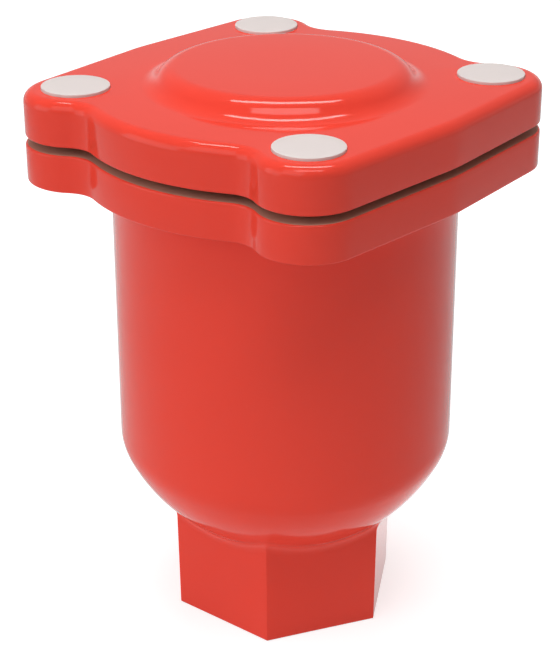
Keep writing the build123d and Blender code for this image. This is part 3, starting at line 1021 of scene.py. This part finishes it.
@dataclass
class Cover:
    """Cover plate with its dome, its spigot, the screw pockets and the vent."""

    bottom: float = 128.85
    top: float = 139.8
    top_edge: float = 2.8
    bottom_edge: float = 0.5
    dome_flat_radius: float = 26.0
    dome_slope: float = 9.0
    dome_height: float = 4.4
    spigot_radius: float = 37.2
    spigot_width: float = 2.7
    spigot_depth: float = 4.0
    spigot_edge: float = 0.4
    middle_radius: float = 10.0
    pocket_sides: int = 64
    screw_hole_radius: float = 4.5
    pocket_radius: float = 7.0
    pocket_floor: float = 133.75
    recess_radius: float = 8.25
    recess_floor: float = 138.9
    vent_radius: float = 2.25
    vent_height: float = 135.2
    vent_chamfer: float = 0.5
    seat_place: float = 13.50274
    seat_hole_radius: float = 5.02
    seat_hole_top: float = 138.35
    bracket_hole_radius: float = 2.02
    bracket_hole_top: float = 134.95
    bracket_hole_offset: float = 12.0
    bracket_hole_place: float = 25.703
    angles: list[float] = field(default_factory=PLAN.angles)

    def dome(self) -> list[Ring]:
        """Lays out the dome's slope along two equal arcs.

        Returns:
            Rings from the foot of the dome to its flat top.
        """
        slope_angle = 2 * math.degrees(math.atan(self.dome_height / self.dome_slope))
        radius = self.dome_slope / (2 * math.sin(math.radians(slope_angle)))
        foot = self.dome_flat_radius + self.dome_slope
        lower = (foot, self.top + radius)
        upper = (self.dome_flat_radius, self.top + self.dome_height - radius)
        rings = arc_rings(lower, radius, 270.0, 270.0 - slope_angle, steps=8)
        rings += arc_rings(upper, radius, 90.0 - slope_angle, 90.0, steps=10)[1:]
        return rings

    def underside(self) -> list[Ring]:
        """Lays out the underside.

        Returns:
            Rings from its middle over the spigot to the plate's edge.
        """
        inner = self.spigot_radius - self.spigot_width
        low = self.bottom - self.spigot_depth
        return [
            circle(self.middle_radius, self.bottom),
            circle(inner, self.bottom),
            circle(inner, low),
            circle(self.spigot_radius - self.spigot_edge, low),
            circle(self.spigot_radius, low + self.spigot_edge),
            circle(self.spigot_radius, self.bottom),
            PLAN.ring(self.bottom_edge, self.bottom),
        ]

    def outside(self) -> list[Ring]:
        """Lays out the outside.

        Returns:
            Rings from the plate's lower edge, round its rim, to the middle of the dome.
        """
        rings = PLAN.edge(self.bottom_edge, self.bottom + self.bottom_edge, -90.0, 0.0, steps=4)
        rings += PLAN.edge(self.top_edge, self.top - self.top_edge, 0.0, 90.0, steps=12)
        rings += self.dome()
        rings.append(circle(self.middle_radius, self.top + self.dome_height))
        return rings

    def build(self) -> bpy.types.Object:
        """Makes the closed casting and cuts its pockets, its vent and its three screwed holes.

        Returns:
            The casting, in place of its node.
        """
        outside = lay_rings("cover_outside", self.outside(), self.angles, end_cap=EndCap.FLAT)
        paint(outside, RED_ENAMEL)
        underside = lay_rings("cover_underside", self.underside(), self.angles, EndCap.FLAT)
        paint(underside, PRIMED_IRON)
        casting = weld("cover_casting", [outside, underside])
        cut(casting, self._pocket_cutter())
        cut(casting, self._vent_cutter())
        low = self.bottom - OVERCUT
        cut(casting, round_bar(
            self.seat_hole_radius, low, self.seat_hole_top, (0.0, self.seat_place), MACHINED_IRON
        ))
        for side in (-1, 1):
            place = (side * self.bracket_hole_offset, self.bracket_hole_place)
            cut(casting, round_bar(
                self.bracket_hole_radius, low, self.bracket_hole_top, place, MACHINED_IRON
            ))
        smooth(casting)
        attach(casting, "root")
        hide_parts("cover")
        return casting

    def _pocket_cutter(self) -> bpy.types.Object:
        """Makes the four stepped bars for the screw pockets and the caps' recesses.

        Returns:
            The bars, as one object.
        """
        rings = [
            circle(self.screw_hole_radius, self.bottom - OVERCUT),
            circle(self.screw_hole_radius, self.pocket_floor),
            circle(self.pocket_radius, self.pocket_floor),
            circle(self.pocket_radius, self.recess_floor),
            circle(self.recess_radius, self.recess_floor),
            circle(self.recess_radius, self.top + OVERCUT),
        ]
        pocket = turned("pocket", rings, self.pocket_sides)
        paint(pocket, RED_ENAMEL)
        return weld("pockets", copies_on_lugs(pocket))

    def _vent_cutter(self) -> bpy.types.Object:
        """Makes the bar along +Y with a flared mouth, for the vent.

        Returns:
            The bar.
        """
        rim = PLAN.rim_radius
        rings = [
            circle(self.vent_radius, self.seat_place),
            circle(self.vent_radius, rim - self.vent_chamfer),
            circle(self.vent_radius + 2 * self.vent_chamfer, rim + self.vent_chamfer),
        ]
        bar = turned("vent", rings, BAR_SIDES)
        turn_mesh(bar, -90.0, "X")
        move_mesh(bar, (0.0, 0.0, self.vent_height))
        paint(bar, MACHINED_IRON)
        return bar


@dataclass
class CapSet:
    """Four plain caps that close the screw pockets."""

    radius: float = 8.2
    bottom: float = 138.9
    top: float = 140.5
    edge: float = 0.2
    lower_edge: float = 0.1
    stem_radius: float = 2.45
    stem_length: float = 2.6
    sides: int = 96

    def build(self) -> list[bpy.types.Object]:
        """Makes one cap and copies it to the four lugs.

        Returns:
            The four caps.
        """
        rings = [
            circle(self.stem_radius, self.bottom - self.stem_length),
            circle(self.stem_radius, self.bottom),
            circle(self.radius - self.lower_edge, self.bottom),
            circle(self.radius, self.bottom + self.lower_edge),
        ]
        corner = (self.radius - self.edge, self.top - self.edge)
        rings += arc_rings(corner, self.edge, 0.0, 90.0, steps=5)
        rings.append(circle(self.radius / 2, self.top))
        cap = turned("screw_cap", rings, self.sides)
        paint(cap, BLASTED_STEEL)
        smooth(cap)
        caps = copies_on_lugs(cap)
        for number, made in enumerate(caps, 1):
            made.name = f"screw_cap_{number}"
            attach(made, "root")
            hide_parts("screw_caps")
        return caps


@dataclass
class CoverScrews:
    """Four low-head socket screws with real threads, hidden under the caps."""

    radius: float = 4.0
    root_radius: float = 3.3
    pitch: float = 1.25
    root_flat: float = 0.2
    flank_share: float = 0.65
    steps_per_pitch: int = 12
    sides: int = 48
    seat: float = 133.75
    length: float = 16.0
    plain_length: float = 3.0
    head_radius: float = 6.5
    head_height: float = 5.0
    edge: float = 0.4
    socket_flats: float = 5.0
    socket_depth: float = 3.0
    socket_mouth: float = 3.25

    def thread_radius(self, angle: float, height: float) -> float:
        """Radius of the thread: straight flanks with a flat crest and a flat root.

        Args:
            angle: Direction in radians.
            height: Height above the foot.

        Returns:
            The radius in millimetres.
        """
        turns = height / self.pitch - angle / (2 * math.pi)
        rise = abs(2 * (turns % 1.0) - 1)
        flank = min(1.0, max(0.0, (rise - self.root_flat) / self.flank_share))
        return self.root_radius + (self.radius - self.root_radius) * flank

    def thread_ring(self, height: float) -> Ring:
        """Level ring across the thread."""
        return lambda angle: (self.thread_radius(angle, height), height)

    def socket_ring(self, height: float) -> Ring:
        """Level hexagon of the socket, with two corners along X."""
        return lambda angle: (self.socket_flats / 2 / math.cos(hexagon_side(angle)), height)

    def build(self) -> list[bpy.types.Object]:
        """Makes one screw and copies it to the four lugs.

        Returns:
            The four screws.
        """
        end = self.seat - self.length
        top = self.seat + self.head_height
        rings = [circle(self.radius - self.pitch, end), circle(self.root_radius, end + self.edge)]
        span = self.length - self.plain_length - self.edge
        count = int(span / self.pitch * self.steps_per_pitch)
        rings += [self.thread_ring(end + self.edge + span * step / count) for step in range(1, count)]
        rings += [
            circle(self.radius, self.seat - self.plain_length),
            circle(self.radius, self.seat),
            circle(self.head_radius, self.seat),
        ]
        corner = (self.head_radius - self.edge, top - self.edge)
        rings += arc_rings(corner, self.edge, 0.0, 90.0, steps=5)
        rings += [
            circle(self.socket_mouth, top),
            self.socket_ring(top - self.edge / 2),
            self.socket_ring(top - self.socket_depth),
        ]
        screw = turned("cover_screw", rings, self.sides)
        paint(screw, STAINLESS)
        smooth(screw)
        screws = copies_on_lugs(screw)
        for number, made in enumerate(screws, 1):
            made.name = f"cover_screw_{number}"
            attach(made, "root")
            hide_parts("cover_screws")
        return screws


@dataclass
class Gasket:
    """Flat ring between the flange and the cover, slightly squeezed out at its edges."""

    inner: float = 37.8
    outer: float = 44.5
    bottom: float = 126.8
    top: float = 128.85
    sides: int = 144

    def build(self) -> bpy.types.Object:
        """Makes the closed ring.

        Returns:
            The ring, in place of its node.
        """
        radius = (self.top - self.bottom) / 2
        middle = (self.top + self.bottom) / 2
        rings = arc_rings((self.outer - radius, middle), radius, -90.0, 90.0, steps=8)
        rings += arc_rings((self.inner + radius, middle), radius, 90.0, 270.0, steps=8)
        skin = lay_rings("gasket", rings + rings[:1], even_angles(self.sides))
        ring = weld("gasket_ring", [skin])
        paint(ring, GASKET_RUBBER)
        smooth(ring)
        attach(ring, "root")
        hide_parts("flange_gasket")
        return ring


@dataclass
class Mechanism:
    """Pieces inside the body that keep the shape of their CAD nodes."""

    finishes: dict[str, Finish] = field(default_factory=lambda: {
        "casting_enamel": RED_ENAMEL,
        "cap_steel": BLASTED_STEEL,
        "stainless_steel": STAINLESS,
        "float_steel": POLISHED_SHEET,
        "bush_bronze": BRONZE,
        "gasket_rubber": GASKET_RUBBER,
        "seal_rubber": SEAL_RUBBER,
    })

    def dress(self) -> int:
        """Gives every node that is still shown the finish of its slot.

        Returns:
            Number of nodes dressed.
        """
        count = 0
        for row in frame["record"]["subparts"]:
            node = frame["nodes"][row["node"]]
            if node.hide_render:
                continue
            paint(node, self.finishes[row["material_slot"]])
            count += 1
        return count


@dataclass(frozen=True)
class SoftLamp:
    """Lamp that faces the valve, or a glowing card that only gloss shows; lengths are metres."""

    name: str
    side_angle: float
    elevation: float
    width: float
    height: float
    power: float
    shape: LampShape = LampShape.RECTANGLE
    only_mirrored: bool = False
    distance: float = 1.2
    aim_height: float = 0.09

    def build(self, camera_azimuth: float) -> bpy.types.Object:
        """Hangs the lamp.

        Args:
            camera_azimuth: Direction of the camera in degrees, from which side_angle counts.

        Returns:
            The lamp.
        """
        away = outward(camera_azimuth + self.side_angle, self.elevation)
        data = bpy.data.lights.new(self.name, "AREA")
        data.shape = self.shape.value
        data.size = self.width
        data.size_y = self.height
        data.energy = self.power
        lamp = bpy.data.objects.new(self.name, data)
        bpy.context.scene.collection.objects.link(lamp)
        lamp.visible_diffuse = not self.only_mirrored
        lamp.location = Vector((0.0, 0.0, self.aim_height)) + away * self.distance
        lamp.rotation_mode = "QUATERNION"
        lamp.rotation_quaternion = (-away).to_track_quat("-Z", "Y")
        return lamp


@dataclass
class Studio:
    """Pale floor, white surroundings and soft lamps; lengths are metres."""

    camera_azimuth: float = 39.18
    floor_size: float = 6.0
    floor_height: float = -0.0002
    floor_colour: tuple[float, float, float] = (0.55, 0.55, 0.55)
    floor_roughness: float = 0.9
    near_floor_glow: float = 0.72
    far_floor_glow: float = 1.0
    far_reach: float = 1.0
    floor_mirrored: float = 0.28
    # Painted reflection: glossy rays see the floor glow brighter in a patch just behind the foot.
    painted_reflection_glow: float = 0.85
    painted_reflection_place: tuple[float, float, float] = (0.005, 0.045, 0.0)
    painted_reflection_reach: float = 0.085
    # Painted bounce light and painted shade: the floor glows for diffuse rays, dimmer next to the foot
    # and fading out with distance.
    floor_bounce: float = 0.7
    shaded_bounce: float = 0.15
    shade_reach: float = 0.1
    bounce_reach: float = 0.34
    horizon_glow: float = 0.32
    zenith_glow: float = 0.06
    mirrored_horizon: float = 0.8
    mirrored_zenith: float = 0.45
    mirrored_rise: float = 0.22
    lamps: tuple[SoftLamp, ...] = (
        SoftLamp("strip_behind", 180.0, 78.0, 0.9, 0.18, 7.2),
        SoftLamp("strip_before", 0.0, 66.0, 0.85, 0.3, 4.4),
        SoftLamp("key", -35.0, 38.0, 0.8, 0.8, 3.1),
        SoftLamp("side", -75.0, 12.0, 0.8, 0.8, 2.8),
        SoftLamp("highlight_card", 180.0, 78.0, 0.95, 0.22, 10.0, LampShape.ELLIPSE, only_mirrored=True),
    )

    def build(self) -> None:
        """Makes the floor, the world and the lamps."""
        self._floor()
        self._world()
        for lamp in self.lamps:
            lamp.build(self.camera_azimuth)

    def _floor(self) -> None:
        """Adds the floor, which keeps the valve's shadow and can be looked through from below."""
        deselect()
        bpy.ops.mesh.primitive_plane_add(size=self.floor_size, location=(0.0, 0.0, self.floor_height))
        floor = bpy.context.object
        floor.name = "floor"
        material = bpy.data.materials.new("pale_floor")
        material.use_nodes = True
        bench = Bench(material.node_tree)
        shader = material.node_tree.nodes["Principled BSDF"]
        shader.inputs["Base Color"].default_value = (*self.floor_colour, 1.0)
        shader.inputs["Roughness"].default_value = self.floor_roughness
        shader.inputs["Specular IOR Level"].default_value = 0.0
        shader.inputs["Emission Color"].default_value = WHITE
        bench.link(self._floor_glow(bench), shader.inputs["Emission Strength"])
        side = bench.node("ShaderNodeNewGeometry")
        shown = bench.node("ShaderNodeMath", operation="SUBTRACT")
        shown.inputs[0].default_value = 1.0
        bench.link(side.outputs["Backfacing"], shown.inputs[1])
        bench.link(shown.outputs["Value"], shader.inputs["Alpha"])
        floor.data.materials.append(material)

    def _floor_glow(self, bench: Bench) -> bpy.types.NodeSocket:
        """Works out how much the floor glows for each kind of ray.

        Diffuse rays find a painted pool of bounce light with painted shade near the foot, and glossy
        rays find a painted reflection, a bright patch just behind the foot.

        Args:
            bench: Bench of the floor's material.

        Returns:
            Socket with the strength.
        """
        path = bench.node("ShaderNodeLightPath")
        place = bench.node("ShaderNodeTexCoord").outputs["Object"]
        from_middle = bench.node("ShaderNodeVectorMath", operation="LENGTH")
        bench.link(place, from_middle.inputs[0])
        reach = from_middle.outputs["Value"]
        # Painted bounce light with painted shade near the foot: the diffuse-ray glow rises away from the
        # foot, then fades with distance.
        pool = bench.spread(reach, self.floor_bounce, 0.0, self.bounce_reach)
        shade = bench.spread(reach, self.shaded_bounce, self.floor_bounce, self.shade_reach)
        bounce = bench.node("ShaderNodeMath", operation="MINIMUM")
        bench.link(pool, bounce.inputs[0])
        bench.link(shade, bounce.inputs[1])
        glow = bench.switch(path.outputs["Is Diffuse Ray"], None, bounce.outputs["Value"])
        # Painted reflection: a bright patch on the floor just behind the foot, seen only by glossy rays.
        from_painted_reflection = bench.node("ShaderNodeVectorMath", operation="DISTANCE")
        from_painted_reflection.inputs[1].default_value = self.painted_reflection_place
        bench.link(place, from_painted_reflection.inputs[0])
        mirrored = bench.spread(
            from_painted_reflection.outputs["Value"], self.painted_reflection_glow, self.floor_mirrored, self.painted_reflection_reach
        )
        glow = bench.switch(path.outputs["Is Glossy Ray"], glow, mirrored)
        seen = bench.spread(reach, self.near_floor_glow, self.far_floor_glow, self.far_reach)
        glow = bench.switch(path.outputs["Is Transmission Ray"], glow, seen)
        return bench.switch(path.outputs["Is Camera Ray"], glow, seen)

    def _world(self) -> None:
        """Shows white to the camera and lights the valve more from the horizon than from above."""
        world = bpy.data.worlds.new("studio")
        bpy.context.scene.world = world
        world.use_nodes = True
        bench = Bench(world.node_tree)
        background = world.node_tree.nodes["Background"]
        direction = bench.node("ShaderNodeTexCoord")
        parts = bench.node("ShaderNodeSeparateXYZ")
        bench.link(direction.outputs["Generated"], parts.inputs["Vector"])
        ambient = bench.spread(parts.outputs["Z"], self.horizon_glow, self.zenith_glow)
        mirrored = bench.spread(
            parts.outputs["Z"], self.mirrored_horizon, self.mirrored_zenith, self.mirrored_rise
        )
        path = bench.node("ShaderNodeLightPath")
        strength = bench.switch(path.outputs["Is Glossy Ray"], ambient, mirrored)
        strength = bench.switch(path.outputs["Is Transmission Ray"], strength, 1.0)
        strength = bench.switch(path.outputs["Is Camera Ray"], strength, 1.0)
        background.inputs["Color"].default_value = WHITE
        bench.link(strength, background.inputs["Strength"])


@dataclass
class PhotoCamera:
    """Camera that stands where the photograph was taken from; lengths but the lens's are metres."""

    azimuth: float = 39.18
    elevation: float = 24.42
    distance: float = 0.4695
    aim_height: float = 0.0748
    lens: float = 101.27
    shift_x: float = -0.0083
    clip_start: float = 0.01

    def build(self) -> None:
        """Makes the camera and gives it to the scene."""
        back = outward(self.azimuth, self.elevation)
        data = bpy.data.cameras.new("photo_camera")
        data.lens = self.lens
        data.shift_x = self.shift_x
        data.clip_start = self.clip_start
        camera = bpy.data.objects.new("photo_camera", data)
        bpy.context.scene.collection.objects.link(camera)
        camera.location = Vector((0.0, 0.0, self.aim_height)) + back * self.distance
        camera.rotation_mode = "QUATERNION"
        camera.rotation_quaternion = (-back).to_track_quat("-Z", "Y")
        bpy.context.scene.camera = camera


def main() -> None:
    """Builds the pieces in order and reports each one."""
    bpy.context.scene.view_settings.view_transform = "Standard"
    PhotoCamera().build()
    Studio().build()
    log.info("body casting: %d faces", len(BodyCasting().build().data.polygons))
    log.info("cover: %d faces", len(Cover().build().data.polygons))
    log.info("screw caps: %d", len(CapSet().build()))
    log.info("cover screws: %d", len(CoverScrews().build()))
    log.info("gasket: %d faces", len(Gasket().build().data.polygons))
    log.info("nodes dressed: %d", Mechanism().dress())
    deselect()


if __name__ == "__main__":
    main()
